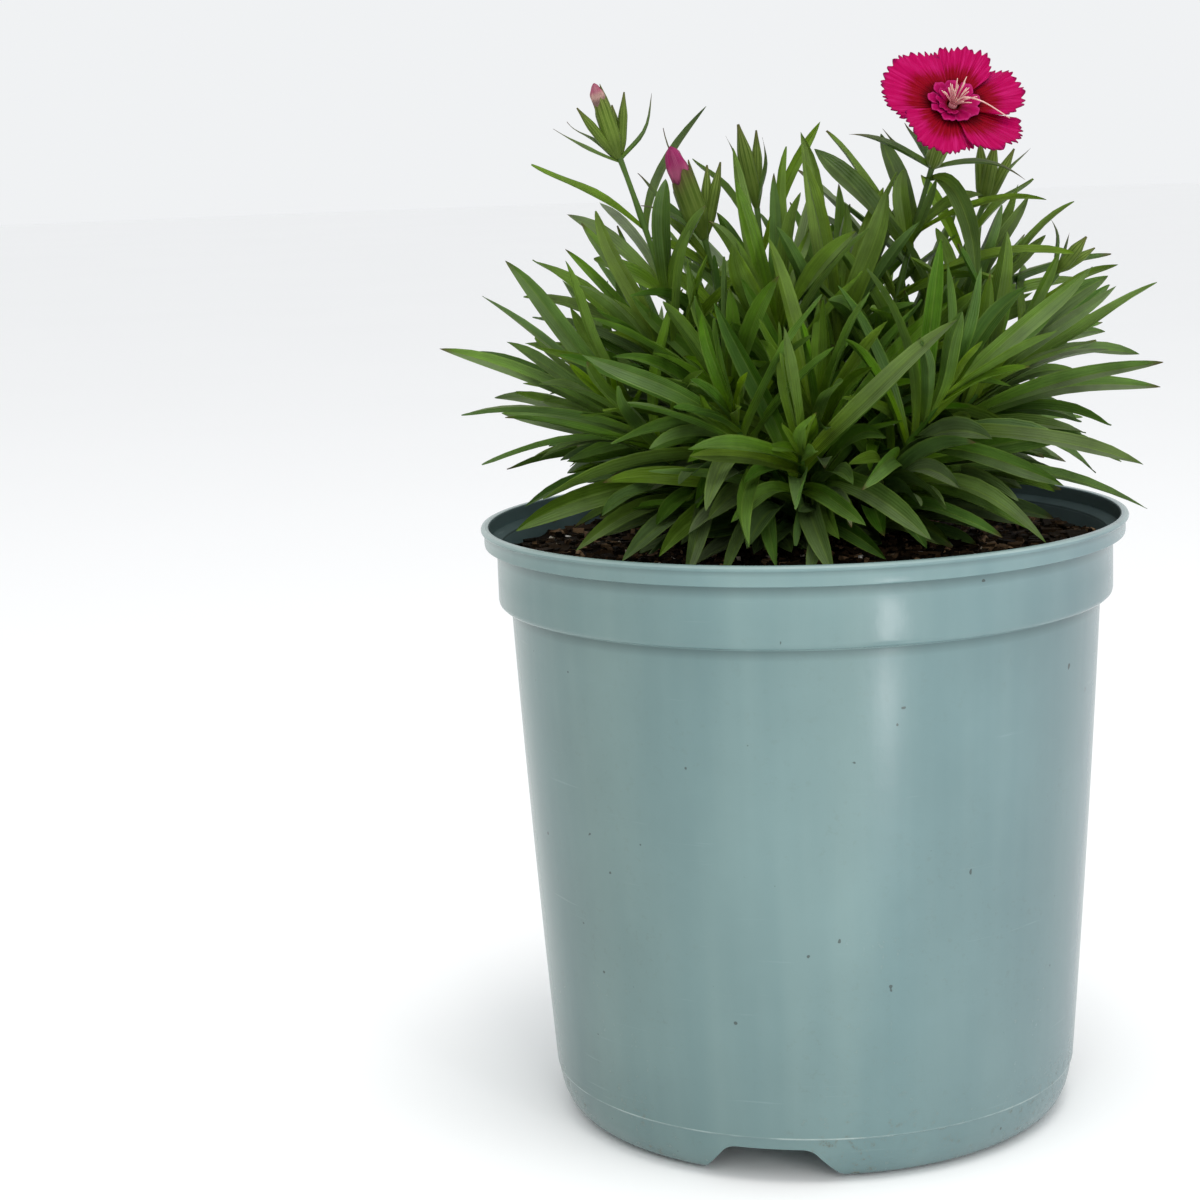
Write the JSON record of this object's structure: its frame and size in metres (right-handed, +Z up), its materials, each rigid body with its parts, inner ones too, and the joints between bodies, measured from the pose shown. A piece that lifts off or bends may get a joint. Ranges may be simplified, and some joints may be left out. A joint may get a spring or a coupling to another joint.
{
  "type": "potted dianthus",
  "caption": "Dianthus (China pink) plant in a round nursery pot: a dome of narrow leaves with green buds and an open serrated magenta flower.",
  "frame": {"origin": "centre of the pot's foot, on the surface that it stands on", "axes": "+Z up through the plant; -Y towards the side that the open flower faces; +X to the right of a viewer there"},
  "size_m": [0.2156, 0.2, 0.3281],
  "materials": {
    "pot_plastic": "grey-green injection-moulded plastic, satin, slightly scuffed",
    "peat": "dark brown peat mix with bark bits and pale grains, matt",
    "leaf": "smooth waxy green leaf, young ones yellow-green, old ones grey-green",
    "flower_stem": "smooth green stem, buds and calyx",
    "petal": "magenta petal, crimson towards the centre, velvety",
    "bud_petal": "folded magenta-pink petals, soft",
    "stamen": "pale pink filaments, soft"
  },
  "bodies": {
    "root": {"bud_petals_left": "bud_petal", "bud_petals_pink": "bud_petal", "flower_petals": "petal", "flower_stamens": "stamen", "pot": "pot_plastic", "shoot_1": "leaf", "shoot_10": "leaf", "shoot_11": "leaf", "shoot_12": "leaf", "shoot_13": "leaf", "shoot_14": "leaf", "shoot_2": "leaf", "shoot_3": "leaf", "shoot_4": "leaf", "shoot_5": "leaf", "shoot_6": "leaf", "shoot_7": "leaf", "shoot_8": "leaf", "shoot_9": "leaf", "shoot_far_left": "leaf", "shoot_front_mid": "leaf", "shoot_left_front": "leaf", "shoot_left_mid": "leaf", "shoot_mid": "leaf", "shoot_right_back": "leaf", "shoot_right_front": "leaf", "shoot_right_mid": "leaf", "shoot_top_mid": "leaf", "soil": "peat", "stem_bud_back": "flower_stem", "stem_bud_left": "flower_stem", "stem_bud_mid": "flower_stem", "stem_bud_pink": "flower_stem", "stem_bud_right": "flower_stem", "stem_open_flower": "flower_stem"}
  },
  "joints": []
}
